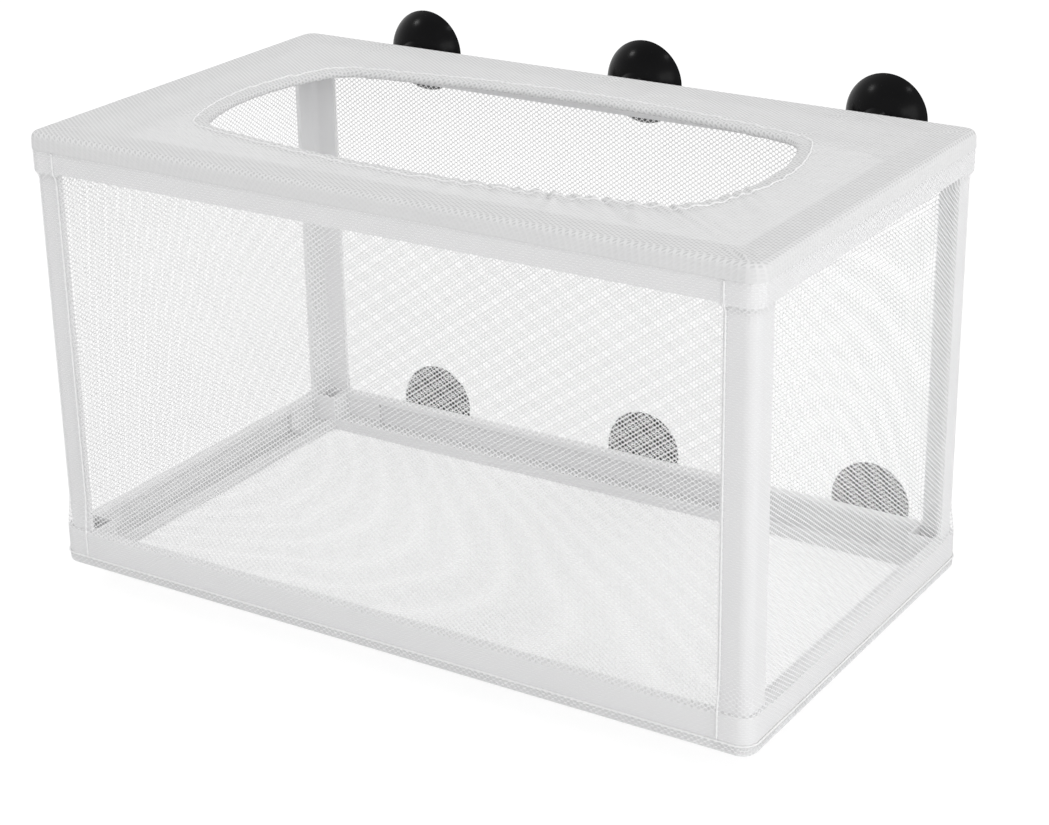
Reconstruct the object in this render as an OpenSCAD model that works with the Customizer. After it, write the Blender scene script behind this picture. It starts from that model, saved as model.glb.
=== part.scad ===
// Fish breeding box: a net bag stretched over a knock-down plastic frame.
// Eight lipped strips and four posts push into eight corner pieces, the net is sewn around
// them, and six rubber suction cups on the back hold the box to the inside of an aquarium glass.
// Every part is built in box coordinates (x along the length, y from front to back, z up,
// base of the net at z = 0). It is then moved so that the origin is the middle of the top
// middle cup's rim, on the glass.

/* [Box] */
// Length of the box over the net
box_l = 260; // [220:1:320]
// Width of the box over the net, from front to back
box_w = 150; // [120:1:200]
// Height of the box over the net
box_h = 150; // [110:1:200]

/* [Frame strips] */
// Width of each leg of the angle strips along the top and the base
strip_w = 12; // [11:0.5:16]
// Wall of the angle strips
strip_t = 1.5; // [1.2:0.1:1.9]
// Rounding of the strips' outer edge
strip_edge_r = 1.5; // [0.5:0.1:2]
// Wall of the hooked lip along each free edge of a strip
lip_t = 0.9; // [0.6:0.1:1]
// Reach of the hooked lip over a tongue
lip_reach = 1; // [0.6:0.1:1.2]

/* [Corner posts] */
// Width of each leg of the four upright posts
post_w = 10.2; // [8.5:0.1:10.6]
// Wall of the posts
post_t = 1.5; // [1.2:0.1:2]

/* [Corner pieces] */
// Length of a corner piece along each of its three edges
corner_size = 12.5; // [12:0.5:16]
// Rounding of a corner piece's upright outer edge
corner_r = 5; // [4:0.5:7]
// Outer wall of the socket that takes a post
socket_wall = 1.2; // [0.8:0.1:1.6]
// Floor of a corner piece, which the post stands on
corner_floor = 1.6; // [1.2:0.1:2.5]
// Inner wall that grips the post from behind
grip_wall = 1.2; // [0.8:0.1:1.8]
// Length of a tongue that reaches into a strip
tongue_l = 14; // [8:1:20]
// Thickness of a tongue
tongue_t = 1.3; // [1:0.1:1.5]
// Chamfer on a tongue's tip
tongue_tip = 1; // [0.5:0.1:2]

/* [Net] */
// Thickness of the net
net_t = 0.4; // [0.3:0.1:0.6]
// Height of the seam between the floor net and the walls
seam_h = 4; // [2:0.5:4]
// Distance of the upright seams from the ends of the box
seam_inset = 11; // [8:0.5:14]

/* [Top opening] */
// Length of the opening in the top
open_l = 190; // [150:1:200]
// Width of the opening in the top
open_w = 93; // [70:1:96]
// Shift of the opening towards the front
open_shift = 1.6; // [0:0.1:3]
// Radius of the opening's four corners
open_corner_r = 14; // [10:0.5:18]
// How far an end of the opening bows out past its corners
open_end_bow = 5; // [2:0.5:8]
// How far a long side of the opening bows out past its corners
open_side_bow = 7.5; // [3:0.5:10]
// Number of main puckers around the opening
pucker_count = 19; // [16:1:19]
// Height of the puckers above and below the flat
pucker_h = 0.8; // [0.2:0.1:1.2]
// Distance of the puckers' crest from the opening
pucker_at = 8; // [7:0.5:10]

/* [Elastic] */
// Diameter of the elastic cord in the hem of the opening
elastic_d = 1.6; // [1:0.1:2]
// Width of the hem that is folded over the elastic
hem_w = 5; // [4.5:0.1:6]

/* [Suction cups] */
// Diameter of a cup's rim
cup_d = 29; // [24:0.5:34]
// Depth of a cup's dome, from its rim plane to its crown
dome_h = 10; // [8:0.5:12]
// Depth of the hollow on the glass side
dish_h = 7.5; // [5:0.5:7.5]
// Width of the flat land around the rim
rim_land = 1; // [0.5:0.1:2]
// Distance from the box's back to the glass
standoff = 17; // [15:0.5:22]
// Distance from an end of the box to the middle of its outer cups
cup_end_gap = 40; // [32:1:60]
// Diameter of the hollow neck behind a cup's dome
neck_d = 8; // [7:0.1:9]
// Width of the flare where the neck meets the dome
neck_flare = 1.5; // [0.5:0.1:2]
// Diameter of the peg on the strip that the neck is pushed over
peg_d = 4; // [3:0.1:4.5]
// Chamfer on the peg's tip
peg_tip = 0.5; // [0.2:0.1:0.8]

/* [Fits] */
// Clearance around a tongue or a post in its socket
slip = 0.1; // [0.05:0.05:0.15]
// Radial clearance of a neck that turns on its peg
peg_clearance = 0.05; // [0.03:0.01:0.08]
// Radial clearance of a peg in the net
net_clearance = 0.2; // [0.1:0.1:0.3]
// End play of a neck, at the net and at the peg's tip
neck_play = 0.15; // [0.1:0.05:0.3]

/* [Hidden] */
$fn = 64;
// How far a cut runs past the wall that it goes through
past = 1;
// How far two forms of one part reach into each other
overlap = 0.5;
// Smallest rounding that is still drawn
least_r = 0.01;
// Plastic frame inside the net
frame_l = box_l - 2 * net_t;
frame_w = box_w - 2 * net_t;
frame_h = box_h - 2 * net_t;
net_corner_r = corner_r + net_t;
seam_x = box_l / 2 - seam_inset;
// Space under a lip, which a tongue fills
tongue_gap = tongue_t + 2 * slip;
// Where the post stands in its corner piece
post_inset = socket_wall + slip;
post_corner_r = corner_r - post_inset;
socket_back = post_inset + post_t + slip;
end_wall = corner_size - post_inset - post_w - slip;
// Cups
cup_x = box_l / 2 - cup_end_gap;
cup_xs = [-cup_x, 0, cup_x];
cup_low_z = net_t + strip_w / 2;
cup_high_z = box_h - cup_low_z;
glass_y = box_w / 2 + standoff;
peg_l = standoff + net_t - dome_h - neck_play;
dome_r = (pow(cup_d / 2, 2) + pow(dome_h, 2)) / (2 * dome_h);
dish_r = (pow(cup_d / 2 - rim_land, 2) + pow(dish_h, 2)) / (2 * dish_h);
// Hem: half a six-sided circle round the elastic, open towards the box's edge
fold_sides = 6;
fold_in_r = (elastic_d / 2 + slip) / cos(180 / fold_sides);
fold_out_r = fold_in_r + net_t;
fold_angles = [for (k = [0:fold_sides / 2]) 90 + 360 * k / fold_sides];
// Air between the hem's flap and the cover, at the stitches
stitch_gap = 0.1;
elastic_sides = 8;
// Opening outline in one quarter: an end arc, a corner arc and a side arc that touch
open_half_l = open_l / 2;
open_half_w = open_w / 2;
open_corner_x = open_half_l - open_end_bow - open_corner_r;
open_corner_y = open_half_w - open_side_bow - open_corner_r;
side_r = bow_radius(open_corner_x, open_half_w - open_corner_y, open_corner_r);
end_r = bow_radius(open_corner_y, open_half_l - open_corner_x, open_corner_r);
end_turn = atan2(open_corner_y, open_corner_x - open_half_l + end_r);
side_turn = atan2(open_corner_y - open_half_w + side_r, open_corner_x);
// Steps all the way round the cover, in one quarter of it, and in two of its three arcs
pucker_steps = 4;
steps = pucker_steps * pucker_count;
quarter_steps = steps / 4;
corner_steps = 5;
end_steps = 5;
// Ledge of the cover that lies on the top strips, and a little past them
ledge_play = 1;
ledge_w = net_t + strip_w + ledge_play;

net_colour = [0.95, 0.95, 0.96];
frame_colour = "white";
rubber_colour = [0.07, 0.07, 0.07];
elastic_colour = [0.9, 0.9, 0.9];

// Radius of an arc that bows to a height h above a corner circle's centre, d along from it
function bow_radius(d, h, r) = (d * d + h * h - r * r) / (2 * (h - r));

// Moves the box so that the middle of the top middle cup's rim is the origin
module hung() {
    translate([0, -glass_y, -cup_high_z])
        children();
}

// Puts a piece drawn from the frame's low front left corner into any corner.
// Each sign is -1 for left, front or bottom and 1 for right, back or top.
module at_corner(sx, sy, sz) {
    translate([sx * frame_l / 2, sy * frame_w / 2, box_h / 2 + sz * frame_h / 2])
        mirror([sx > 0 ? 1 : 0, 0, 0])
            mirror([0, sy > 0 ? 1 : 0, 0])
                mirror([0, 0, sz > 0 ? 1 : 0])
                    children();
}

// Extrudes an outline along x: its x becomes y and its y becomes z
module along_x(length) {
    rotate([90, 0, 90])
        linear_extrude(length)
            children();
}

// Extrudes an outline along y: its x stays and its y becomes z
module along_y(length) {
    translate([0, length, 0])
        rotate([90, 0, 0])
            linear_extrude(length)
                children();
}

// A rectangle whose corner at the origin is rounded
module eased_rectangle(size, r) {
    difference() {
        square(size);
        difference() {
            square(r);
            translate([r, r])
                circle(r);
        }
    }
}

// An L whose outer corner is at the origin
module angle_section(w, t, r) {
    difference() {
        eased_rectangle([w, w], r);
        translate([t, t])
            eased_rectangle([w, w], max(r - t, least_r));
    }
}

// One leg's hooked lip, standing on the free edge of the leg along x
module lip_section() {
    translate([strip_w - lip_t, 0])
        square([lip_t, strip_t + tongue_gap + lip_t]);
    translate([strip_w - lip_t - lip_reach, strip_t + tongue_gap])
        square([lip_t + lip_reach, lip_t]);
}

// Angle strip with a lip along both free edges
module strip_section() {
    angle_section(strip_w, strip_t, strip_edge_r);
    lip_section();
    mirror([1, -1])
        lip_section();
}

// Strip along the front or back. The back ones carry a peg for each cup.
module long_rail(pegged = false) {
    color(frame_colour) {
        translate([corner_size, 0, 0])
            along_x(frame_l - 2 * corner_size)
                strip_section();
        if (pegged) {
            for (x = cup_xs) {
                translate([frame_l / 2 + x, 0, strip_w / 2])
                    peg();
            }
        }
    }
}

// Peg that stands out of a strip's outer face
module peg() {
    rotate([90, 0, 0]) {
        translate([0, 0, -overlap])
            cylinder(d = peg_d, h = overlap + peg_l - peg_tip);
        translate([0, 0, peg_l - peg_tip])
            cylinder(d1 = peg_d, d2 = peg_d - 2 * peg_tip, h = peg_tip);
    }
}

// Strip along the left or right end
module short_rail() {
    color(frame_colour)
        translate([0, corner_size, 0])
            along_y(frame_w - 2 * corner_size)
                strip_section();
}

// Upright post, standing on the floors of its two corner pieces
module post() {
    color(frame_colour)
        translate([post_inset, post_inset, corner_floor])
            linear_extrude(frame_h - 2 * corner_floor)
                angle_section(post_w, post_t, post_corner_r);
}

// Outline of one tongue plate, with a chamfered tip
module tongue_plate(width) {
    polygon([
        [-overlap, 0],
        [tongue_l - tongue_tip, 0],
        [tongue_l, tongue_tip],
        [tongue_l, width - tongue_tip],
        [tongue_l - tongue_tip, width],
        [-overlap, width]
    ]);
}

// Tongue along x: one plate lies on the strip's flat leg and one stands along its upright leg
module tongue_x() {
    low = strip_t + slip;
    width = strip_w - lip_t - slip - low;
    translate([corner_size, low, low]) {
        linear_extrude(tongue_t)
            tongue_plate(width);
        along_y(tongue_t)
            tongue_plate(width);
    }
}

// Solid of a corner piece before its sockets are cut
module corner_block() {
    // Rounded upright edge
    translate([corner_r, corner_r, 0])
        rotate([0, 0, 180])
            rotate_extrude(angle = 90)
                translate([corner_r, 0])
                    mirror([1, 0])
                        eased_rectangle([corner_r, corner_size], strip_edge_r);
    // Side along x and side along y
    translate([corner_r, 0, 0])
        along_x(corner_size - corner_r)
            eased_rectangle([corner_size, corner_size], strip_edge_r);
    translate([0, corner_r, 0])
        along_y(corner_size - corner_r)
            eased_rectangle([corner_size, corner_size], strip_edge_r);
}

// Corner piece: a socket for the post, a hollow behind it and two tongues
module corner_piece() {
    grip_back = socket_back + grip_wall;
    color(frame_colour) {
        difference() {
            corner_block();
            translate([socket_wall, socket_wall, corner_floor])
                linear_extrude(corner_size)
                    angle_section(post_w + 2 * slip, post_t + 2 * slip, corner_r - socket_wall);
            translate([grip_back, grip_back, corner_floor])
                cube([corner_size - end_wall - grip_back, corner_size - end_wall - grip_back, corner_size]);
        }
        tongue_x();
        mirror([1, -1, 0])
            tongue_x();
    }
}

// Rounded rectangle centred on the origin
module rounded_plan(length, width, r) {
    square([length - 2 * r, width], center = true);
    square([length, width - 2 * r], center = true);
    for (sx = [-1, 1], sy = [-1, 1]) {
        translate([sx * (length / 2 - r), sy * (width / 2 - r)])
            circle(r);
    }
}

// Plan of the net that goes round the frame
module net_plan() {
    difference() {
        rounded_plan(box_l, box_w, net_corner_r);
        rounded_plan(frame_l, frame_w, corner_r);
    }
}

// Stretch of the net wall between two x positions, on both long sides
module net_stretch(from_x, to_x) {
    translate([0, 0, seam_h])
        linear_extrude(box_h - net_t - seam_h)
            intersection() {
                net_plan();
                translate([from_x, -box_w])
                    square([to_x - from_x, 2 * box_w]);
            }
}

// Long net panel between its two upright seams. The back one has holes for the pegs.
module long_net(side, pierced = false) {
    color(net_colour)
        difference() {
            intersection() {
                net_stretch(-seam_x, seam_x);
                translate([-box_l / 2, side < 0 ? -box_w : 0, 0])
                    cube([box_l, box_w, box_h]);
            }
            if (pierced) {
                for (x = cup_xs, z = [cup_low_z, cup_high_z]) {
                    translate([x, frame_w / 2 - past, z])
                        rotate([-90, 0, 0])
                            cylinder(r = peg_d / 2 + net_clearance, h = net_t + 2 * past);
                }
            }
        }
}

// End net panel, which wraps round two posts to the seams on the long sides
module end_net(side) {
    color(net_colour)
        if (side < 0) {
            net_stretch(-box_l / 2, -seam_x);
        } else {
            net_stretch(seam_x, box_l / 2);
        }
}

// Floor net, folded up all round to its seam
module net_floor() {
    color(net_colour) {
        linear_extrude(net_t)
            rounded_plan(box_l, box_w, net_corner_r);
        linear_extrude(seam_h)
            net_plan();
    }
}

// Point of the opening's first quarter, from the end of the box to the middle of its side
function open_point(j) =
    j <= end_steps
        ? let (a = end_turn * j / end_steps)
            [open_half_l - end_r + end_r * cos(a), end_r * sin(a)]
        : j <= end_steps + corner_steps
            ? let (a = end_turn + (side_turn - end_turn) * (j - end_steps) / corner_steps)
                [open_corner_x + open_corner_r * cos(a), open_corner_y + open_corner_r * sin(a)]
            : let (
                share = (j - end_steps - corner_steps) / (quarter_steps - end_steps - corner_steps),
                a = side_turn + (90 - side_turn) * share
            )
                [side_r * cos(a), open_half_w - side_r + side_r * sin(a)];

// Point of the box's outline that lies across from it
function edge_point(j) =
    let (flat_x = box_l / 2 - net_corner_r, flat_y = box_w / 2 - net_corner_r)
    j <= end_steps
        ? [box_l / 2, flat_y * j / end_steps]
        : j <= end_steps + corner_steps
            ? let (a = 90 * (j - end_steps) / corner_steps)
                [flat_x + net_corner_r * cos(a), flat_y + net_corner_r * sin(a)]
            : let (share = (j - end_steps - corner_steps) / (quarter_steps - end_steps - corner_steps))
                [flat_x * (1 - share), box_w / 2];

// Step i of the whole ring, as its step in a quarter and the signs that mirror that quarter
function quarter_of(i) = floor(i / quarter_steps);
function step_in_quarter(i) =
    quarter_of(i) % 2 == 0 ? i % quarter_steps : quarter_steps - i % quarter_steps;
function sign_x(i) = quarter_of(i) == 1 || quarter_of(i) == 2 ? -1 : 1;
function sign_y(i) = quarter_of(i) >= 2 ? -1 : 1;

function ring_inner(i) =
    let (p = open_point(step_in_quarter(i)))
    [sign_x(i) * p[0], sign_y(i) * p[1] - open_shift];
function ring_outer(i) =
    let (p = edge_point(step_in_quarter(i)))
    [sign_x(i) * p[0], sign_y(i) * p[1]];

// Point of step i at a distance outward from the opening and at a height
function ring_point(i, out, z) =
    let (p = ring_inner(i), q = ring_outer(i), d = (q - p) / norm(q - p))
    [p[0] + d[0] * out, p[1] + d[1] * out, z];

// Rise of the gathered cloth at its crest
function pucker(i) = pucker_h * sin(360 * i / pucker_steps);

// Cut through the cover at step i, from the box's edge in to the hem and back underneath
function cover_section(i) =
    let (
        reach = norm(ring_outer(i) - ring_inner(i)),
        lift = pucker(i),
        flap_z = box_h - net_t - stitch_gap + lift * (hem_w - fold_out_r) / (pucker_at - fold_out_r)
    )
    concat(
        [
            ring_point(i, reach, box_h),
            ring_point(i, reach - ledge_w, box_h),
            ring_point(i, pucker_at, box_h + lift)
        ],
        [for (a = fold_angles) hem_point(i, a, fold_out_r)],
        [
            ring_point(i, hem_w, flap_z - net_t),
            ring_point(i, hem_w, flap_z)
        ],
        [for (k = [len(fold_angles) - 1:-1:0]) hem_point(i, fold_angles[k], fold_in_r)],
        [
            ring_point(i, pucker_at, box_h - net_t + lift),
            ring_point(i, reach - ledge_w, box_h - net_t),
            ring_point(i, reach, box_h - net_t)
        ]
    );

// Point on a circle round the elastic
function hem_point(i, a, r) =
    ring_point(i, fold_out_r + r * cos(a), box_h - fold_out_r + r * sin(a));

// Skin of a tube that closes on itself, from rings of equally many points
module closed_sweep(rings) {
    count = len(rings);
    sides = len(rings[0]);
    polyhedron(
        points = [for (ring = rings, p = ring) p],
        faces = [
            for (i = [0:count - 1], k = [0:sides - 1])
                let (
                    j = (i + 1) % count,
                    m = (k + 1) % sides,
                    a = i * sides + k,
                    b = i * sides + m,
                    c = j * sides + m,
                    d = j * sides + k
                )
                each [[a, c, b], [a, d, c]]
        ]
    );
}

// Gathered cover with its opening, hemmed round the elastic
module top_cover() {
    color(net_colour)
        closed_sweep([for (i = [0:steps - 1]) cover_section(i)]);
}

// Elastic cord that lies in the hem
module opening_elastic() {
    color(elastic_colour)
        closed_sweep([
            for (i = [0:steps - 1])
                [for (k = [0:elastic_sides - 1]) hem_point(i, 360 * k / elastic_sides, elastic_d / 2)]
        ]);
}

// Half outline of a suction cup. Its axis is y here, and its rim plane is y = 0.
module cup_outline() {
    neck_end = neck_play - standoff;
    difference() {
        union() {
            // Dome with the hollow that grips the glass
            intersection() {
                translate([0, dome_r - dome_h])
                    circle(dome_r);
                translate([0, -dome_h - past])
                    square([cup_d, dome_h + past]);
            }
            // Neck and its flare
            translate([0, neck_end])
                square([neck_d / 2, overlap - dome_h - neck_end]);
            polygon([
                [0, -dome_h - neck_flare],
                [neck_d / 2, -dome_h - neck_flare],
                [neck_d / 2 + neck_flare, -dome_h + neck_flare],
                [0, -dome_h + neck_flare]
            ]);
        }
        translate([0, dish_r - dish_h])
            circle(dish_r);
        translate([-past, neck_end - past])
            square([past + peg_d / 2 + peg_clearance, past - dome_h - neck_end]);
    }
}

// Suction cup at a place along the box and a height
module cup(x, z) {
    color(rubber_colour)
        translate([x, glass_y, z])
            rotate([-90, 0, 0])
                rotate_extrude()
                    cup_outline();
}

hung() at_corner(-1, -1, -1) long_rail();  // rail_bottom_front
hung() at_corner(-1, 1, -1) long_rail(pegged = true);  // rail_bottom_back
hung() at_corner(-1, -1, -1) short_rail();  // rail_bottom_left
hung() at_corner(1, -1, -1) short_rail();  // rail_bottom_right
hung() at_corner(-1, -1, 1) long_rail();  // rail_top_front
hung() at_corner(-1, 1, 1) long_rail(pegged = true);  // rail_top_back
hung() at_corner(-1, -1, 1) short_rail();  // rail_top_left
hung() at_corner(1, -1, 1) short_rail();  // rail_top_right
hung() at_corner(-1, -1, -1) post();  // post_front_left
hung() at_corner(1, -1, -1) post();  // post_front_right
hung() at_corner(-1, 1, -1) post();  // post_back_left
hung() at_corner(1, 1, -1) post();  // post_back_right
hung() at_corner(-1, -1, -1) corner_piece();  // corner_bottom_front_left
hung() at_corner(1, -1, -1) corner_piece();  // corner_bottom_front_right
hung() at_corner(-1, 1, -1) corner_piece();  // corner_bottom_back_left
hung() at_corner(1, 1, -1) corner_piece();  // corner_bottom_back_right
hung() at_corner(-1, -1, 1) corner_piece();  // corner_top_front_left
hung() at_corner(1, -1, 1) corner_piece();  // corner_top_front_right
hung() at_corner(-1, 1, 1) corner_piece();  // corner_top_back_left
hung() at_corner(1, 1, 1) corner_piece();  // corner_top_back_right
hung() long_net(-1);  // net_front
hung() long_net(1, pierced = true);  // net_back
hung() end_net(-1);  // net_left
hung() end_net(1);  // net_right
hung() net_floor();
hung() top_cover();
hung() opening_elastic();
hung() cup(cup_xs[0], cup_high_z);  // cup_top_left
hung() cup(cup_xs[1], cup_high_z);  // cup_top_middle
hung() cup(cup_xs[2], cup_high_z);  // cup_top_right
hung() cup(cup_xs[0], cup_low_z);  // cup_bottom_left
hung() cup(cup_xs[1], cup_low_z);  // cup_bottom_middle
hung() cup(cup_xs[2], cup_low_z);  // cup_bottom_right
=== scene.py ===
# %% [markdown]
# # A net breeding box for an aquarium
# The real object is a box of white net on a light plastic frame. Its top is a gathered net
# cover with an elastic opening, and six black suction cups on the back hold it to the glass.
# The rigid pieces arrive from the solid model with exact sizes, so they only need a finish.
# Everything soft is made here: the net walls, the gathered cover, the hem, the elastic and
# the seams.

# %% Load the solid model
import math

import bpy
import numpy as np
from mathutils import Matrix, Vector


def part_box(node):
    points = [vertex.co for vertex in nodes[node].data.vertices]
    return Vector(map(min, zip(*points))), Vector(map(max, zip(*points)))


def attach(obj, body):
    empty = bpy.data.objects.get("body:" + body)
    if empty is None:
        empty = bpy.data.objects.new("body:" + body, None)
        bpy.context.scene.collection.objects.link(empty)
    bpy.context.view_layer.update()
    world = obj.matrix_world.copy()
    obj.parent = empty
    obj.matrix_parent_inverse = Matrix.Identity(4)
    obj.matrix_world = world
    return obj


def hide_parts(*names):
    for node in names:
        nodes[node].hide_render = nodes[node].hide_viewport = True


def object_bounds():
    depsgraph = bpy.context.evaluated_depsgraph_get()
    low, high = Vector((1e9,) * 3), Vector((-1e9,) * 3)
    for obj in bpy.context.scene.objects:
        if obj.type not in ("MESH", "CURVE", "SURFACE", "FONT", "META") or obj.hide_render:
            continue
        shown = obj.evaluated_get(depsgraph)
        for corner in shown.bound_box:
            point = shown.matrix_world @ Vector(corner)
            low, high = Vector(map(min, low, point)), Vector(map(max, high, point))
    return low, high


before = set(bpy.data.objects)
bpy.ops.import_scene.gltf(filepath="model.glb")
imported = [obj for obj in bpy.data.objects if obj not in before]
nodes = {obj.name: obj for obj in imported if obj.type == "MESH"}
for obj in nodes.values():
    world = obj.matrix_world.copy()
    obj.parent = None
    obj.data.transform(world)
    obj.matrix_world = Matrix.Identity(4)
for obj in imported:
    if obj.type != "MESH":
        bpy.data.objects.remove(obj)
cad_low, cad_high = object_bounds()

# %% [markdown]
# ## One corner of the box as the ruler's zero
# Cloth is easiest to draw in millimetres, measured from the middle of the box's base. The
# solid model says where that point is, so the soft pieces stay on the frame even when the
# solid model is moved. A soft piece could also be fitted by eye, but then it would drift.

# %% Box coordinates in millimetres
MM = 0.001
floor_low, floor_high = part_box("net_floor")
BASE = Vector(((floor_low.x + floor_high.x) / 2, (floor_low.y + floor_high.y) / 2, floor_low.z))
LENGTH = round((floor_high.x - floor_low.x) / MM, 2)
WIDTH = round((floor_high.y - floor_low.y) / MM, 2)
NET_T = 0.4
HEIGHT = round((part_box("net_front")[1].z - floor_low.z) / MM + NET_T, 2)
CORNER_R = 5.4


def place(points):
    """Box coordinates in millimetres to the model's own metres."""
    return np.asarray(points, float) * MM + np.array(BASE)


print("box", LENGTH, "x", WIDTH, "x", HEIGHT, "mm")

# %% [markdown]
# ## The camera first
# The photograph looks down on the box from the front right. The angles and the focal length
# were found by matching seven corners of the box to their places in the picture. A camera
# could be aimed by hand, but a fit keeps the proportions of near and far edges right.

# %% Camera
PHOTO_W = 1049
FOCAL_PX = 2457.4
azimuth, elevation, roll = (math.radians(a) for a in (32.55, 22.65, -0.96))
back = Vector((math.sin(azimuth) * math.cos(elevation),
               -math.cos(azimuth) * math.cos(elevation), math.sin(elevation)))
level = Vector((math.cos(azimuth), math.sin(azimuth), 0))
upward = back.cross(level)
right = level * math.cos(roll) + upward * math.sin(roll)
up = upward * math.cos(roll) - level * math.sin(roll)
middle = Vector(place([0, 0, HEIGHT / 2]))
spot = middle + (right * 6.81 - up * 19.21 + back * 796.07) * MM

lens = bpy.data.cameras.new("camera")
lens.sensor_width = 36
lens.lens = FOCAL_PX / PHOTO_W * lens.sensor_width
lens.clip_start, lens.clip_end = 0.01, 20
camera = bpy.data.objects.new("camera", lens)
turn = Matrix((right, up, back)).transposed().to_4x4()
camera.matrix_world = Matrix.Translation(spot) @ turn
bpy.context.scene.collection.objects.link(camera)
bpy.context.scene.camera = camera
bpy.context.scene.view_settings.view_transform = "Standard"
print("lens", round(lens.lens, 1), "mm, camera at", [round(v, 3) for v in spot])

# %% [markdown]
# ## Writing materials as sums
# A material is a graph of small nodes. Wiring each one by hand hides the idea, so a socket
# is wrapped in a class whose operators add the Math nodes. Then `1 - mask * 0.5` reads as it
# is meant. Every node that isn't plain arithmetic comes from one method, which takes the
# kind of node, its settings, and the values or links of its sockets.

# %% Sockets that can be added and multiplied
class Socket:
    """A number or vector inside a material, which Python's operators work on."""

    def __init__(self, graph, link):
        self.graph, self.link = graph, link

    def math(self, operation, first, second=0.0):
        settings = {"operation": operation}
        return self.graph.node("ShaderNodeMath", settings, {0: first, 1: second})

    def __add__(self, other):
        return self.math("ADD", self, other)

    def __radd__(self, other):
        return self.math("ADD", other, self)

    def __sub__(self, other):
        return self.math("SUBTRACT", self, other)

    def __rsub__(self, other):
        return self.math("SUBTRACT", other, self)

    def __mul__(self, other):
        return self.math("MULTIPLY", self, other)

    def __rmul__(self, other):
        return self.math("MULTIPLY", other, self)

    def __truediv__(self, other):
        return self.math("DIVIDE", self, other)

    def __pow__(self, other):
        return self.math("POWER", self, other)

    def least(self, other):
        return self.math("MINIMUM", self, other)

    def most(self, other):
        return self.math("MAXIMUM", self, other)

    def from_multiple(self, step):
        """Distance to the nearest multiple of step."""
        return self.math("PINGPONG", self, step / 2)


# %% A graph of nodes
class Graph:
    """The nodes of one material or world."""

    def __init__(self, owner):
        owner.use_nodes = True
        self.tree = owner.node_tree
        self.tree.nodes.clear()

    def node(self, kind, settings=None, sockets=None, output=0):
        made = self.tree.nodes.new(kind)
        for name, value in (settings or {}).items():
            setattr(made, name, value)
        for key, value in (sockets or {}).items():
            if isinstance(value, Socket):
                self.tree.links.new(value.link, made.inputs[key])
            else:
                made.inputs[key].default_value = value
        if not made.outputs:
            return made
        return Socket(self, made.outputs[output])

    def step(self, value, low, high):
        """0 below low, 1 above high and smooth between."""
        sockets = {"Value": value, "From Min": low, "From Max": high}
        settings = {"interpolation_type": "SMOOTHSTEP"}
        return self.node("ShaderNodeMapRange", settings, sockets)

    def blend(self, share, first, second):
        """A colour between two colours."""
        sockets = {0: share, 6: first, 7: second}
        return self.node("ShaderNodeMix", {"data_type": "RGBA"}, sockets, 2)

    def noise(self, vector, scale, detail=2.0):
        sockets = {"Vector": vector, "Scale": scale, "Detail": detail}
        return self.node("ShaderNodeTexNoise", None, sockets, "Fac")

    def bump(self, height, distance, strength=1.0):
        sockets = {"Height": height, "Distance": distance, "Strength": strength}
        return self.node("ShaderNodeBump", None, sockets)

    def surface(self, sockets):
        """A Principled surface, wired to the output."""
        shader = self.node("ShaderNodeBsdfPrincipled", None, sockets)
        self.node("ShaderNodeOutputMaterial", None, {"Surface": shader})
        return shader


def finish_with(material, *pieces):
    for piece in pieces:
        piece.data.materials.clear()
        piece.data.materials.append(material)


# %% [markdown]
# ## Light, backdrop and floor
# The picture was lit by a bright white room with one large lamp at the right, so faces turned
# to the right are lightest and upward faces are greyest. Two small lamps high up make the
# little highlights on the black cups. A white world with a greyer ceiling gives the even part
# of the light. The backdrop is white only to the camera, so no extra light reaches the object,
# and the floor is mostly its own white, which leaves a faint soft shadow.

# %% World
world = bpy.data.worlds.new("white_room")
bpy.context.scene.world = world
graph = Graph(world)
seen = graph.node("ShaderNodeLightPath", None, None, "Is Camera Ray")
skyward = graph.node("ShaderNodeTexCoord", None, None, "Generated")
rise = graph.node("ShaderNodeSeparateXYZ", None, {0: skyward}, "Z")
WALLS_WHITE, CEILING_GREY = (0.97, 0.97, 0.97, 1), (0.58, 0.58, 0.58, 1)
room_colour = graph.blend(rise * rise, WALLS_WHITE, CEILING_GREY)
room = graph.node("ShaderNodeBackground", None, {"Color": room_colour, "Strength": 1.0})
backdrop = graph.node("ShaderNodeBackground", None, {"Color": (1, 1, 1, 1), "Strength": 1.0})
mixed = graph.node("ShaderNodeMixShader", None, {0: seen, 1: room, 2: backdrop})
graph.node("ShaderNodeOutputWorld", None, {"Surface": mixed})

# %% Lamps
LAMP_AWAY = 1.6


def softbox(name, direction, size, energy):
    """A rectangular lamp that looks at the middle of the box from a direction."""
    lamp = bpy.data.lights.new(name, "AREA")
    lamp.shape, lamp.size, lamp.size_y = "RECTANGLE", size[0], size[1]
    lamp.energy = energy
    lamp_from = Vector(direction).normalized()
    lamp_object = bpy.data.objects.new(name, lamp)
    lamp_object.location = middle + lamp_from * LAMP_AWAY
    lamp_object.rotation_euler = lamp_from.to_track_quat("Z", "Y").to_euler()
    bpy.context.scene.collection.objects.link(lamp_object)


softbox("right_lamp", (0.90, -0.36, 0.24), (1.1, 0.8), 6.4)
softbox("upper_left_lamp", (-0.63, -0.09, 0.77), (0.24, 0.18), 2.6)
softbox("upper_right_lamp", (0.50, 0.16, 0.83), (0.20, 0.16), 1.3)

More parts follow.
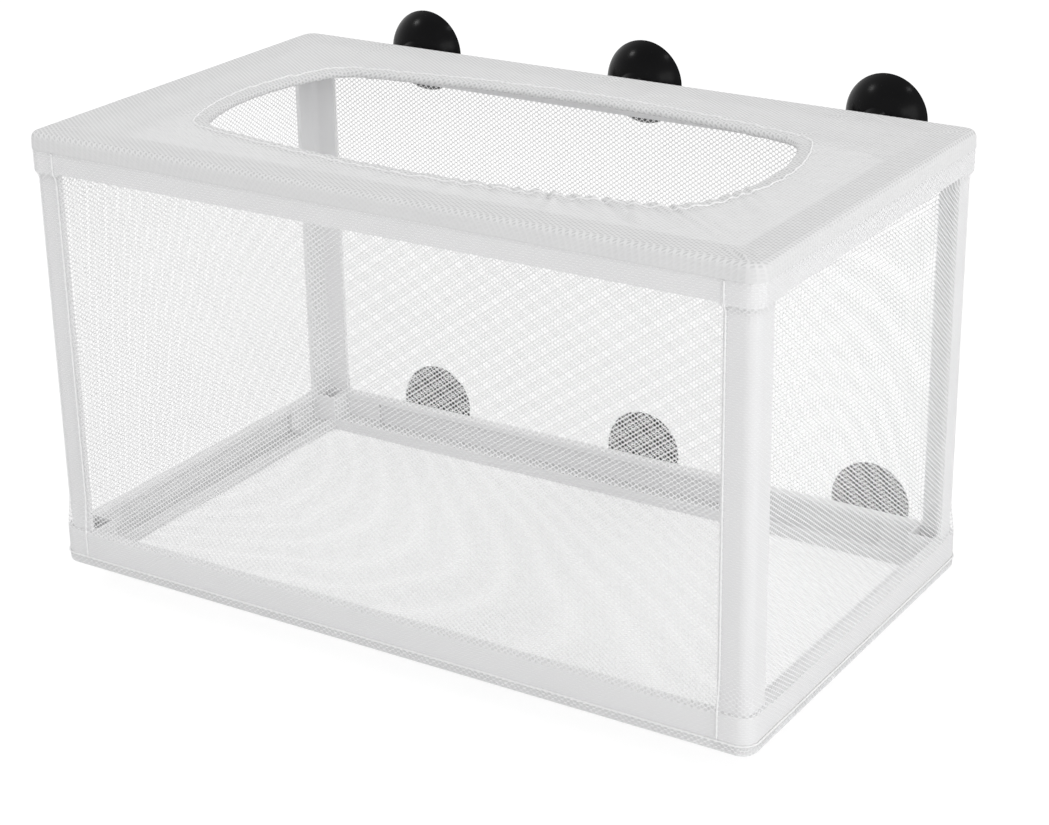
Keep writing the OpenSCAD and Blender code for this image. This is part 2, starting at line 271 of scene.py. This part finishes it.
# %% Floor
FLOOR_GAP = 0.0005
FLOOR_HALF = 6.0
floor_z = cad_low.z - FLOOR_GAP
signs = ((-1, -1), (1, -1), (1, 1), (-1, 1))
corners = [(x * FLOOR_HALF, y * FLOOR_HALF, floor_z) for x, y in signs]
floor_mesh = bpy.data.meshes.new("floor")
floor_mesh.from_pydata(corners, [], [(0, 1, 2, 3)])
floor = bpy.data.objects.new("floor", floor_mesh)
bpy.context.scene.collection.objects.link(floor)

paper = bpy.data.materials.new("paper_floor")
graph = Graph(paper)
seen = graph.node("ShaderNodeLightPath", None, None, "Is Camera Ray")
glow = graph.node("ShaderNodeEmission", None, {"Color": (1, 1, 1, 1), "Strength": 1.2})
matt = graph.node("ShaderNodeBsdfDiffuse", None, {"Color": (0.8, 0.8, 0.8, 1)})
OWN_WHITE = 0.72
mixed = graph.node("ShaderNodeMixShader", None, {0: seen * OWN_WHITE, 1: matt, 2: glow})
graph.node("ShaderNodeOutputMaterial", None, {"Surface": mixed})
finish_with(paper, floor)

# %% [markdown]
# ## White moulded plastic
# The strips, posts and corner pieces are cheap white plastic with a satin skin. Flat white
# would look like paper, so the skin gets a fine orange-peel bump, slow changes of shade where
# the moulding cooled unevenly, and a roughness that varies with them. Object coordinates are
# enough, because these pieces never stretch.

# %% Plastic
plastic = bpy.data.materials.new("white_plastic")
graph = Graph(plastic)
where = graph.node("ShaderNodeTexCoord", None, None, "Object")
cooling = graph.noise(where, 28.0, 3.0)
peel = graph.noise(where, 1900.0, 2.0)
shade = graph.blend(cooling, (0.84, 0.84, 0.845, 1), (0.90, 0.90, 0.905, 1))
graph.surface({
    "Base Color": shade,
    "Roughness": 0.34 + cooling * 0.16,
    "Specular IOR Level": 0.45,
    "Normal": graph.bump(peel, 0.00004, 0.5),
})
rigid = [n for n in nodes if n.startswith(("rail_", "post_", "corner_"))]
finish_with(plastic, *[nodes[n] for n in rigid])
print(len(rigid), "plastic pieces")

# %% [markdown]
# ## Black rubber
# The suction cups are soft black rubber, smooth enough to mirror each lamp as a small soft
# spot. Rubber is never quite black, so its colour drifts a little as dust would make it. In a
# white room it must reflect very little, or the white walls would turn it grey.

# %% Rubber
rubber = bpy.data.materials.new("black_rubber")
graph = Graph(rubber)
where = graph.node("ShaderNodeTexCoord", None, None, "Object")
dust = graph.noise(where, 90.0, 4.0)
grain = graph.noise(where, 2600.0, 2.0)
shade = graph.blend(dust, (0.0025, 0.0025, 0.0027, 1), (0.0055, 0.0055, 0.006, 1))
graph.surface({
    "Base Color": shade,
    "Roughness": 0.17 + dust * 0.12,
    "Specular IOR Level": 0.08,
    "Normal": graph.bump(grain, 0.00002, 0.35),
})
cups = [n for n in nodes if n.startswith("cup_")]
finish_with(rubber, *[nodes[n] for n in cups])
print(len(cups), "suction cups")

# %% [markdown]
# ## A knitted net as a pattern
# The net is knitted with small six-sided holes in staggered rows. Modelling ninety thousand
# holes would choke every tool, so the sheet is smooth and its holes are made by transparency.
# Each point of the sheet carries its place on the flat cloth in millimetres, and the pattern
# measures how far that place is from the middle of the nearest hole. Because the place is on
# the cloth and not in the room, the pattern follows every fold. The third number there says
# how closed the cloth is, such as 1 where it is doubled over an edge.

# %% Thread and holes
COLUMN = 2.2
ROW = 1.6
ROUNDING = 4


def thread_of(graph, cloth, thread):
    """How deep in the thread a place is: 0 in a hole and 1 along the thread's middle."""
    x = graph.node("ShaderNodeSeparateXYZ", None, {0: cloth}, "X")
    y = graph.node("ShaderNodeSeparateXYZ", None, {0: cloth}, "Y")
    across = x.from_multiple(COLUMN)
    along = y.from_multiple(ROW)
    quarter = (COLUMN / 2) ** 2 + (ROW / 2) ** 2

    def cell(dx, dy):
        slant = (dx * (COLUMN / 2) + dy * (ROW / 2)) * (2 / quarter)
        level = dy * (2 / ROW)
        return (slant ** ROUNDING + level ** ROUNDING) ** (1 / ROUNDING)

    nearest = cell(across, along).least(cell(COLUMN / 2 - across, ROW / 2 - along))
    return graph.step(nearest, 1 - 1.5 * thread, 1 - 0.5 * thread)


# %% Net material
def net_material(name, thread, white, haze):
    """Net of a thread's width and white, where a lower white is painted shade. haze is the fine
    fibre across its holes.
    """
    made = bpy.data.materials.new(name)
    graph = Graph(made)
    settings = {"attribute_name": "cloth", "attribute_type": "GEOMETRY"}
    cloth = graph.node("ShaderNodeAttribute", settings, None, "Vector")
    drift = graph.noise(cloth, 0.05, 2.0)
    solid = thread_of(graph, cloth, thread)
    dense = graph.node("ShaderNodeSeparateXYZ", None, {0: cloth}, "Z")
    bright = (white, white, white, 1)
    dull = (white * 0.95, white * 0.95, white * 0.957, 1)
    graph.surface({
        "Base Color": graph.blend(drift, dull, bright),
        "Roughness": 0.62,
        "Sheen Weight": 0.12,
        "Specular IOR Level": 0.3,
        "Alpha": (haze + solid * (1 - haze)).most(dense),
        "Normal": graph.bump(solid, 0.00012, 0.6),
    })
    return made


wall_net = net_material("wall_net", 0.15, 0.95, 0.06)
floor_net = net_material("floor_net", 0.16, 0.95, 0.10)
# The cover is the same white net. Its lower white is painted shade: the shade between its close
# threads and on its upward face.
cover_net = net_material("cover_net", 0.42, 0.775, 0.76)

# %% [markdown]
# ## Sheets from rows of points
# Every soft piece here is a grid: rows of points in millimetres, joined into four-sided
# faces. A grid bends smoothly, shades smoothly, and carries the flat cloth's own measure with
# it. Rows can close on themselves, as they do round the opening.

# %% Grid of points to mesh
def grid_piece(name, points, cloth, closed=False, ring=False):
    """A mesh from rows of points. closed joins the last row to the first, ring each row's ends."""
    rows, columns = points.shape[:2]
    mesh = bpy.data.meshes.new(name)
    row = np.arange(rows if closed else rows - 1)
    column = np.arange(columns if ring else columns - 1)
    a, b = np.meshgrid(row, column, indexing="ij")
    c, d = (a + 1) % rows, (b + 1) % columns
    faces = np.stack([a * columns + b, a * columns + d, c * columns + d, c * columns + b], -1)
    mesh.from_pydata(place(points.reshape(-1, 3)).tolist(), [], faces.reshape(-1, 4).tolist())
    mesh.shade_smooth()
    measure = mesh.attributes.new("cloth", "FLOAT_VECTOR", "POINT")
    flat = np.zeros((rows * columns, 3))
    flat[:, :cloth.shape[-1]] = cloth.reshape(-1, cloth.shape[-1])
    measure.data.foreach_set("vector", flat.ravel())
    made = bpy.data.objects.new(name, mesh)
    bpy.context.scene.collection.objects.link(made)
    return made


def area_of(piece):
    """Surface of a piece in square millimetres."""
    return sum(f.area for f in piece.data.polygons) / MM ** 2


def smooth(value, low, high):
    """0 below low, 1 above high and smooth between, for arrays of numbers."""
    share = np.clip((np.asarray(value, float) - low) / (high - low), 0, 1)
    return share * share * (3 - 2 * share)


# %% [markdown]
# ## The outline that the walls follow
# The wall net goes round the frame like a sleeve. Its plan is a rectangle with small round
# corners, so a place on it is one number: the distance walked round the box. The function
# below turns that distance into a point and the direction that faces outward.

# %% Round the box
SHEET = NET_T / 2
flat_x = LENGTH / 2 - CORNER_R
flat_y = WIDTH / 2 - CORNER_R
bend_r = CORNER_R - SHEET
bend = bend_r * math.pi / 2
lap = 4 * (flat_x + flat_y + bend)


def round_box(walked):
    """Point on the sleeve's plan and its outward direction, walked from the front's left bend."""
    walked = np.mod(np.asarray(walked, float), lap)
    points, outward = np.zeros(walked.shape + (2,)), np.zeros(walked.shape + (2,))
    start = 0.0
    for side in range(4):
        run = 2 * (flat_x if side % 2 == 0 else flat_y)
        reach = (flat_y if side % 2 == 0 else flat_x) + bend_r
        turned = math.radians(90 * side)
        cosine, sine = math.cos(turned), math.sin(turned)
        straight = (walked >= start) & (walked <= start + run)
        bent = (walked > start + run) & (walked < start + run + bend)
        angle = (walked - start - run) / bend_r
        x = np.where(straight, walked - start - run / 2, run / 2 + bend_r * np.sin(angle))
        y = np.where(straight, -reach, -reach + bend_r * (1 - np.cos(angle)))
        nx = np.where(straight, 0.0, np.sin(angle))
        ny = np.where(straight, -1.0, -np.cos(angle))
        here = straight | bent
        points[here] = np.stack([x * cosine - y * sine, x * sine + y * cosine], -1)[here]
        outward[here] = np.stack([nx * cosine - ny * sine, nx * sine + ny * cosine], -1)[here]
        start += run + bend
    return points, outward


print("once round the box is", round(lap, 1), "mm")

# %% [markdown]
# ## How the net lies between the strips
# The net is tight over the top and bottom strips and over the four posts, which stand a
# little further in. So it slopes in below the top corner pieces, follows the posts, and comes
# out again above the base. Between posts it is only held by its own tension, and waves a
# little. A cloth simulation would find the same shape, but a formula is exact and repeatable.

# %% Slack of the wall net
POST_INSET = 1.22
OPEN_INSET = 0.45
BASE_HELD, BASE_FREE = 11.5, 25.0
TOP_FREE, TOP_HELD = HEIGHT - 15.5, HEIGHT - 12.2
TURN = 6.28
rng = np.random.RandomState(11)
waves = [(rng.uniform(30, 90), rng.uniform(0, TURN), rng.uniform(25, 70),
          rng.uniform(0, TURN), rng.uniform(0.04, 0.11)) for _ in range(9)]


def slack(walked, z):
    """How far in from the outer outline the net lies."""
    walked, z = np.broadcast_arrays(np.asarray(walked, float), np.asarray(z, float))
    held = smooth(z, BASE_HELD, BASE_FREE) * (1 - smooth(z, TOP_FREE, TOP_HELD))
    nearest = np.full(walked.shape, 1e9)
    start = 0.0
    for side in range(4):
        start += 2 * (flat_x if side % 2 == 0 else flat_y) + bend / 2
        gap = np.abs(np.mod(walked - start + lap / 2, lap) - lap / 2)
        nearest = np.minimum(nearest, gap)
        start += bend / 2
    by_post = 1 - smooth(nearest, 12.0, 34.0)
    ripple = sum(a * np.sin(walked / w * TURN + p) * np.sin(z / v * TURN + q)
                 for w, p, v, q, a in waves)
    open_net = OPEN_INSET + ripple * (1 - by_post)
    return held * (by_post * POST_INSET + (1 - by_post) * open_net)


# %% Wall panels
SEAM_X = LENGTH / 2 - 11.0
SEAM_Z = 4.0
WALL_LOW = 0.9
WALL_TOP = HEIGHT - 2.4
LOW_BEND, HIGH_BEND = 26, HEIGHT - 17
seam_walk = flat_x - SEAM_X
front_run = 2 * SEAM_X
side_run = 2 * (seam_walk + bend + flat_y)


def wall_panel(name, start, run):
    """A panel that starts at a distance round the box and runs on for its width."""
    steps = np.linspace(start, start + run, int(run / 1.6) + 2)
    levels = np.unique(np.concatenate([
        np.linspace(WALL_LOW, LOW_BEND, 15), np.linspace(LOW_BEND, HIGH_BEND, 40),
        np.linspace(HIGH_BEND, WALL_TOP, 14)]))
    walked, z = np.meshgrid(steps, levels, indexing="ij")
    plan, outward = round_box(walked)
    plan = plan - outward * slack(walked, z)[..., None]
    points = np.concatenate([plan, z[..., None]], -1)
    cloth = np.stack([walked, z], -1)
    made = grid_piece(name, points, cloth)
    finish_with(wall_net, made)
    print(name, points.shape[:2], "area", round(area_of(made)), "mm2")
    return made


front_start = seam_walk
right_start = front_start + front_run
back_start = right_start + side_run
left_start = back_start + front_run
walls = {
    "net_front": wall_panel("wall_front", front_start, front_run),
    "net_right": wall_panel("wall_right", right_start, side_run),
    "net_back": wall_panel("wall_back", back_start, front_run),
    "net_left": wall_panel("wall_left", left_start, side_run),
}
for node, piece in walls.items():
    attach(piece, "box")
    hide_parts(node)
    side = node.split("_")[1]
    run = front_run if side in ("front", "back") else side_run
    flat = (run * MM, (WALL_TOP - WALL_LOW) * MM)
    "rail_top_" + side
    "rail_bottom_" + side

# %% [markdown]
# ## The floor net
# The floor is a tray of the same net. It lies under the bottom strips, turns up round them,
# and is sewn to the walls a few millimetres above the base. It is one sheet: a rounded
# rectangle whose rim is bent up through a small bend.

# %% Floor tray
FOLD_R = 1.2
TRAY_STEPS = 1040


def ripples(walked, seed, size):
    """Small uneven waves of the turned-up rim, in millimetres outward."""
    draw = np.random.RandomState(seed)
    total = np.zeros(walked.shape)
    for _ in range(7):
        turns = draw.randint(25, 120)
        total += draw.uniform(0.3, 1) * np.sin(walked / lap * turns * 2 * math.pi
                                               + draw.uniform(0, TURN))
    return size * total / 3


walk = np.linspace(0, lap, TRAY_STEPS + 1)[:-1]
rim, facing = round_box(walk)
fold_line = rim - facing * FOLD_R
RIM_PROUD = 0.16
rows, rows_cloth = [], []
for share in np.linspace(0.002, 1, 40):
    rows.append(np.column_stack([fold_line * share, np.full(TRAY_STEPS, SHEET)]))
    rows_cloth.append(fold_line * share)
for angle in np.radians(np.linspace(0, 90, 6))[1:]:
    plan = fold_line + facing * (FOLD_R * math.sin(angle))
    rise = SHEET + FOLD_R * (1 - math.cos(angle))
    rows.append(np.column_stack([plan, np.full(TRAY_STEPS, rise)]))
    rows_cloth.append(fold_line + facing * (FOLD_R * angle))
wave = ripples(walk, 3, RIM_PROUD)
for share in np.linspace(0, 1, 5)[1:]:
    rise = SHEET + FOLD_R + (SEAM_Z - SHEET - FOLD_R) * share
    out = RIM_PROUD * share + wave * 4 * share * (1 - share)
    rows.append(np.column_stack([rim + facing * out[:, None], np.full(TRAY_STEPS, rise)]))
    turned = FOLD_R * math.pi / 2 + rise - SHEET - FOLD_R
    rows_cloth.append(fold_line + facing * turned)
tray = grid_piece("floor_tray", np.array(rows), np.array(rows_cloth), ring=True)
finish_with(floor_net, tray)
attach(tray, "box")
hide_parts("net_floor")
turned_up = FOLD_R * math.pi / 2 + SEAM_Z - SHEET - 2 * FOLD_R
tray_flat = (LENGTH + 2 * turned_up, WIDTH + 2 * turned_up)
print("floor tray cut", [round(v, 1) for v in tray_flat], "area", round(area_of(tray)))
tray_flat[0] * MM
tray_flat[1] * MM

# %% [markdown]
# ## The opening's outline
# The opening is a long rounded shape: two flat arcs along the sides, two at the ends and four
# tighter ones at the corners, all touching smoothly. One number walks round it, and the same
# number walks round the box's edge, so that a line from one to the other is a thread of the
# cover.

# %% Opening and edge, step by step
OPEN_L, OPEN_W, OPEN_SHIFT = 190.0, 93.0, 1.6
OPEN_R, END_BOW, SIDE_BOW = 14.0, 5.0, 7.5
QUARTER, ARC_STEPS = 19, 5


def bow_radius(d, h, r):
    return (d * d + h * h - r * r) / (2 * (h - r))


half_l, half_w = OPEN_L / 2, OPEN_W / 2
corner_x, corner_y = half_l - END_BOW - OPEN_R, half_w - SIDE_BOW - OPEN_R
side_r = bow_radius(corner_x, half_w - corner_y, OPEN_R)
end_r = bow_radius(corner_y, half_l - corner_x, OPEN_R)
end_turn = math.atan2(corner_y, corner_x - half_l + end_r)
side_turn = math.atan2(corner_y - half_w + side_r, corner_x)


def opening_point(j):
    """The opening's edge in its first quarter."""
    a = end_turn * j / ARC_STEPS
    b = end_turn + (side_turn - end_turn) * (j - ARC_STEPS) / ARC_STEPS
    c = side_turn + (math.pi / 2 - side_turn) * (j - 2 * ARC_STEPS) / (QUARTER - 2 * ARC_STEPS)
    end = np.stack([half_l - end_r + end_r * np.cos(a), end_r * np.sin(a)], -1)
    corner = np.stack([corner_x + OPEN_R * np.cos(b), corner_y + OPEN_R * np.sin(b)], -1)
    side = np.stack([side_r * np.cos(c), half_w - side_r + side_r * np.sin(c)], -1)
    near = (j <= ARC_STEPS)[..., None]
    middle_part = (j <= 2 * ARC_STEPS)[..., None]
    return np.where(near, end, np.where(middle_part, corner, side))


def edge_point(j, inset):
    """The box's edge across from it, and its outward direction."""
    radius = CORNER_R - inset
    b = math.pi / 2 * np.clip((j - ARC_STEPS) / ARC_STEPS, 0, 1)
    y = np.where(j <= ARC_STEPS, flat_y * j / ARC_STEPS, flat_y)
    x = flat_x * (1 - np.clip((j - 2 * ARC_STEPS) / (QUARTER - 2 * ARC_STEPS), 0, 1))
    outward = np.stack([np.cos(b), np.sin(b)], -1)
    return np.stack([x, y], -1) + outward * radius, outward


def mirrored(step, values):
    """A first quarter's points or directions, put into the quarter that the step is in."""
    quarter = np.floor(step / QUARTER).astype(int) % 4
    sign_x = np.where((quarter == 1) | (quarter == 2), -1.0, 1.0)
    sign_y = np.where(quarter >= 2, -1.0, 1.0)
    return values * np.stack([sign_x, sign_y], -1)


def in_quarter(step):
    quarter = np.floor(step / QUARTER).astype(int)
    rest = step - quarter * QUARTER
    return np.where(quarter % 2 == 0, rest, QUARTER - rest)


# %% [markdown]
# ## Gathers
# The cover is cut larger than the elastic, so its spare cloth stands up in small folds that
# start at the hem and fade outward. They aren't even: some are long, some short, most lean a
# little, and they are strongest at the front right where the cloth is pulled. Each fold is a
# narrow valley with a ridge beside it. A regular wave would look like a pie crust.

# %% Folds round the opening
AROUND = 1824
steps = np.arange(AROUND) * (4 * QUARTER / AROUND)
hem_line = mirrored(steps, opening_point(in_quarter(steps))) - np.array([0, OPEN_SHIFT])
edge_line, edge_out = edge_point(in_quarter(steps), SHEET)
edge_line, edge_out = mirrored(steps, edge_line), mirrored(steps, edge_out)
hop = np.linalg.norm(np.roll(hem_line, -1, 0) - hem_line, axis=1)
walked_hem = np.concatenate([[0], np.cumsum(hop)[:-1]])
hem_length = hop.sum()
front_right = walked_hem[np.argmin(np.linalg.norm(hem_line - [62, -46], axis=1))]

rng = np.random.RandomState(5)
folds = []
at = 0.0
while at < hem_length - 3:
    near = abs((at - front_right + hem_length / 2) % hem_length - hem_length / 2)
    pull = 1 + 3.0 * math.exp(-((near / 50) ** 2))
    folds.append((at + rng.uniform(-1.5, 1.5), rng.uniform(0.1, 0.27) * pull,
                  rng.uniform(0.8, 1.9), rng.uniform(6, 20) * (0.7 + 0.3 * pull),
                  rng.uniform(-0.4, 0.4)))
    at += rng.uniform(3.5, 8.0)
print("opening", round(hem_length, 1), "mm round,", len(folds), "folds")


def gather(walked, out):
    """Height of the folds at a place along the hem and a distance outward from it."""
    height = np.zeros(np.broadcast(walked, out).shape)
    for centre, size, wide, length, lean in folds:
        fade = (1 - smooth(out, 0.35 * length, 1.6 * length)) * (0.5 + 0.5 * smooth(out, -2, 3))
        width = wide * (1 + 0.05 * np.maximum(out, 0))
        x = (walked - centre - lean * out + hem_length / 2) % hem_length - hem_length / 2
        x = x / width
        height += size * fade * (0.75 * np.exp(-((x - 1.3) ** 2)) - np.exp(-(x ** 2)))
    return height


# %% Creases from the cups and the corners
CUP_X = 90.0
rng = np.random.RandomState(8)
pulls = []


def fan(x, y, toward, spread, count, size):
    """Creases that start at a point and run towards a direction in degrees, within a spread."""
    for _ in range(count):
        angle = math.radians(toward + rng.uniform(-spread, spread))
        pulls.append((np.array([x, y]), np.array([math.cos(angle), math.sin(angle)]),
                      rng.uniform(9, 27), rng.uniform(0.7, 1.3), size * rng.uniform(0.5, 1)))


for x in (-CUP_X, 0, CUP_X):
    fan(x, WIDTH / 2 - 1, -90, 62, 8, 0.5)
fan(LENGTH / 2 - 3, -WIDTH / 2 + 3, 140, 50, 9, 0.5)
fan(LENGTH / 2 - 3, WIDTH / 2 - 3, 220, 40, 4, 0.26)
fan(3 - LENGTH / 2, -WIDTH / 2 + 3, 40, 40, 4, 0.2)
fan(3 - LENGTH / 2, WIDTH / 2 - 3, -40, 40, 4, 0.2)


def creases(plan):
    """Height of the creases at places on the cover."""
    height = np.zeros(len(plan))
    for start, direction, length, wide, size in pulls:
        away = plan - start
        ahead = away @ direction
        aside = away @ np.array([-direction[1], direction[0]]) / wide
        fade = smooth(ahead, 0, 3) * (1 - smooth(ahead, 0.35 * length, length))
        height += size * fade * (np.exp(-((aside - 1.2) ** 2)) - 0.9 * np.exp(-(aside ** 2)))
    return height


print(len(pulls), "creases")

# %% [markdown]
# ## The gathered cover
# The cover is one sheet. It starts on the walls just below the edge, turns over the strips
# in a soft bend, lies flat on them, runs in to the opening with its folds, rolls round the
# elastic and comes back underneath as the hem's flap. Rows of points follow that path.

# %% Rows of the cover
EDGE_R = 2.0
SIDE_FLAP = 3.6
CLOSED = 0.97
STRIP_IN, NET_FREE = 12.6, 16.5
ELASTIC_D = 1.6
ROLL_R = (ELASTIC_D / 2 + 0.1) / math.cos(math.pi / 6) + SHEET
ROLL_OUT = ROLL_R + SHEET
TOP_Z = HEIGHT - SHEET
rows, rows_cloth = [], []
inner_edge = edge_line - edge_out * EDGE_R
span = inner_edge - hem_line
reach = np.linalg.norm(span, axis=1)
along = span / reach[:, None]


def add_row(plan, z, cloth, dense=0.0):
    rows.append(np.column_stack([plan, np.broadcast_to(z, (AROUND,))]))
    rows_cloth.append(np.column_stack([cloth, np.full(AROUND, dense)]))


def flat_place(distance):
    """Place on the flat cloth at a distance outward from the opening's edge."""
    return hem_line + along * np.asarray(distance)[..., None]


arc = EDGE_R * math.pi / 2
for drop in (SIDE_FLAP, SIDE_FLAP * 2 / 3, SIDE_FLAP / 3):
    outer = edge_line + edge_out * 0.05 * drop
    add_row(outer, TOP_Z - EDGE_R - drop + SHEET, flat_place(reach + arc + drop), CLOSED)
for angle in np.radians(np.linspace(90, 0, 8)):
    plan = inner_edge + edge_out * (EDGE_R * math.sin(angle))
    add_row(plan, TOP_Z - EDGE_R * (1 - math.cos(angle)), flat_place(reach + EDGE_R * angle),
            CLOSED * min(1.0, 2 * angle / math.pi + 0.2))
for share in np.linspace(0, 1, 46)[1:]:
    distance = reach + (ROLL_OUT - reach) * share
    plan = hem_line + along * distance[:, None]
    height = gather(walked_hem, distance) + creases(plan)
    inset = np.minimum(LENGTH / 2 - np.abs(plan[:, 0]), WIDTH / 2 - np.abs(plan[:, 1]))
    on_strip = 1 - smooth(inset, STRIP_IN, NET_FREE)
    height = height * (1 - on_strip) + np.maximum(height, 0) * on_strip
    height = height * smooth(reach - distance, 0.3, 3)
    add_row(plan, TOP_Z + height, flat_place(distance))
FOLLOW = 0.7
height = gather(walked_hem, np.full(AROUND, ROLL_OUT))
for angle in np.radians(np.linspace(90, 270, 13))[1:]:
    ease = FOLLOW + (1 - FOLLOW) * max(math.sin(angle), 0) ** 2
    plan = hem_line + along * (ROLL_OUT + ROLL_R * math.cos(angle))
    gone = ROLL_R * (angle - math.pi / 2)
    add_row(plan, HEIGHT - ROLL_OUT + ROLL_R * math.sin(angle) + height * ease,
            flat_place(np.full(AROUND, ROLL_OUT - gone)))
FLAP = 3.6
FLAP_UNDER = 0.55
under = HEIGHT - ROLL_OUT - ROLL_R
for share in np.linspace(0, 1, 5)[1:]:
    out = np.full(AROUND, ROLL_OUT + FLAP * share)
    ease = FOLLOW + (1 - FOLLOW) * share
    z = under + (TOP_Z - FLAP_UNDER - under) * share + gather(walked_hem, out) * ease
    gone = ROLL_R * math.pi + FLAP * share
    add_row(hem_line + along * out[:, None], z, flat_place(np.full(AROUND, ROLL_OUT - gone)))
cover = grid_piece("gathered_cover", np.array(rows), np.array(rows_cloth), ring=True)
finish_with(cover_net, cover)
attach(cover, "box")
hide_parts("top_cover")

# %% [markdown]
# ## The elastic in the hem
# A thin round elastic runs inside the hem and pulls the opening tight. It only shows where the
# net is stretched over it, so it needs little more than its braid: ribs that wind round the
# cord, which the material makes from the same cloth measure.

# %% Elastic
elastic_rows, elastic_cloth = [], []
SIDES = 12
BRAID = 0.62
rise = gather(walked_hem, np.full(AROUND, ROLL_OUT)) * FOLLOW
for k in range(SIDES):
    angle = 2 * math.pi * k / SIDES
    out = ROLL_OUT + ELASTIC_D / 2 * math.cos(angle)
    plan = hem_line + along * out
    z = HEIGHT - ROLL_OUT + ELASTIC_D / 2 * math.sin(angle) + rise
    elastic_rows.append(np.column_stack([plan, z]))
    elastic_cloth.append(np.column_stack([walked_hem, np.full(AROUND, ELASTIC_D / 2 * angle)]))
elastic = grid_piece("elastic_cord", np.array(elastic_rows), np.array(elastic_cloth),
                     closed=True, ring=True)
braid = bpy.data.materials.new("braided_elastic")
graph = Graph(braid)
settings = {"attribute_name": "cloth", "attribute_type": "GEOMETRY"}
cloth = graph.node("ShaderNodeAttribute", settings, None, "Vector")
x = graph.node("ShaderNodeSeparateXYZ", None, {0: cloth}, "X")
y = graph.node("ShaderNodeSeparateXYZ", None, {0: cloth}, "Y")
one_way = (x + y).from_multiple(BRAID)
other_way = (x - y).from_multiple(BRAID)
ribs = graph.step(one_way.most(other_way), 0.12, 0.31)
graph.surface({
    "Base Color": graph.blend(ribs, (0.62, 0.62, 0.63, 1), (0.84, 0.84, 0.84, 1)),
    "Roughness": 0.6,
    "Normal": graph.bump(ribs, 0.0001, 0.7),
})
finish_with(braid, elastic)
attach(elastic, "box")
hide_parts("opening_elastic")

# %% [markdown]
# ## Seams
# Three kinds of seam hold the net together: four that run up beside the posts, one round the
# base where the tray meets the walls, and one round the opening that closes the hem. Each is
# a row of stitches. They could be painted as a bump, but raised thread catches the light from
# every side, so each seam is a thin tube that swells at each stitch.

# %% Seam thread
seam_thread = bpy.data.materials.new("seam_thread")
graph = Graph(seam_thread)
settings = {"attribute_name": "cloth", "attribute_type": "GEOMETRY"}
cloth = graph.node("ShaderNodeAttribute", settings, None, "Vector")
ply = graph.node("ShaderNodeSeparateXYZ", None, {0: cloth}, "X").from_multiple(0.5) * 4
graph.surface({
    "Base Color": graph.blend(ply, (0.86, 0.86, 0.865, 1), (0.95, 0.95, 0.95, 1)),
    "Roughness": 0.5,
    "Sheen Weight": 0.1,
    "Normal": graph.bump(ply, 0.00006, 0.5),
})

# %% Rows of stitches
STITCH = 2.4
STITCH_R = 0.34
THREAD_SIDES = 6
UPWARD = np.array([0.0, 0.0, 1.0])


def stitched(name, path, first, second, ring=False):
    """Stitches along a path. first and second are the directions across it."""
    hops = np.linalg.norm(np.diff(path, axis=0), axis=1)
    walked = np.concatenate([[0], np.cumsum(hops)])
    swell = STITCH_R * (0.4 + 0.6 * np.abs(np.sin(math.pi * walked / STITCH)) ** 0.6)
    tube, measure = [], []
    for k in range(THREAD_SIDES):
        angle = 2 * math.pi * k / THREAD_SIDES
        across = first * math.cos(angle) + second * math.sin(angle)
        tube.append(path + across * swell[:, None])
        measure.append(np.column_stack([walked, np.full(len(walked), angle)]))
    made = grid_piece(name, np.array(tube), np.array(measure), closed=True, ring=ring)
    finish_with(seam_thread, made)
    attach(made, "box")
    return made


# %% Seams up the posts
PROUD = 0.12
seam_places = {"front_left": front_start, "front_right": front_start + front_run,
               "back_right": back_start, "back_left": back_start + front_run}
for corner, walked_to in seam_places.items():
    z = np.arange(SEAM_Z + NET_T, WALL_TOP - SIDE_FLAP + NET_T, 0.3)
    walked_there = np.full(len(z), walked_to)
    plan, outward = round_box(walked_there)
    plan = plan - outward * (slack(walked_there, z) - PROUD)[:, None]
    outward = np.column_stack([outward, np.zeros(len(z))])
    sideways = np.cross(UPWARD, outward)
    stitched("seam_" + corner, np.column_stack([plan, z]), outward, sideways)

# %% Seam round the base and seam of the hem
SEAM_STEPS = 2700
walk = np.linspace(0, lap, SEAM_STEPS + 1)[:-1]
rim, facing = round_box(walk)
facing = np.column_stack([facing, np.zeros(SEAM_STEPS)])
path = np.column_stack([rim, np.full(SEAM_STEPS, SEAM_Z)]) + facing * (PROUD + 0.1)
stitched("seam_base", path, facing, np.broadcast_to(UPWARD, path.shape), ring=True)

HEM_W = 5.0
plan = hem_line + along * HEM_W
height = gather(walked_hem, np.full(AROUND, HEM_W)) + creases(plan)
path = np.column_stack([plan, TOP_Z + height + PROUD])
outward = np.column_stack([along, np.zeros(AROUND)])
stitched("seam_hem", path, outward, np.broadcast_to(UPWARD, path.shape), ring=True)
print("seams up, round the base and round the hem")

# %% [markdown]
# ## Size of the solid model
# The soft pieces may stand a little proud of the solids, but not more. The size of
# the solid model is printed.

# %% Size of the solid model
print("solid model", [round(v, 4) for v in cad_high - cad_low])
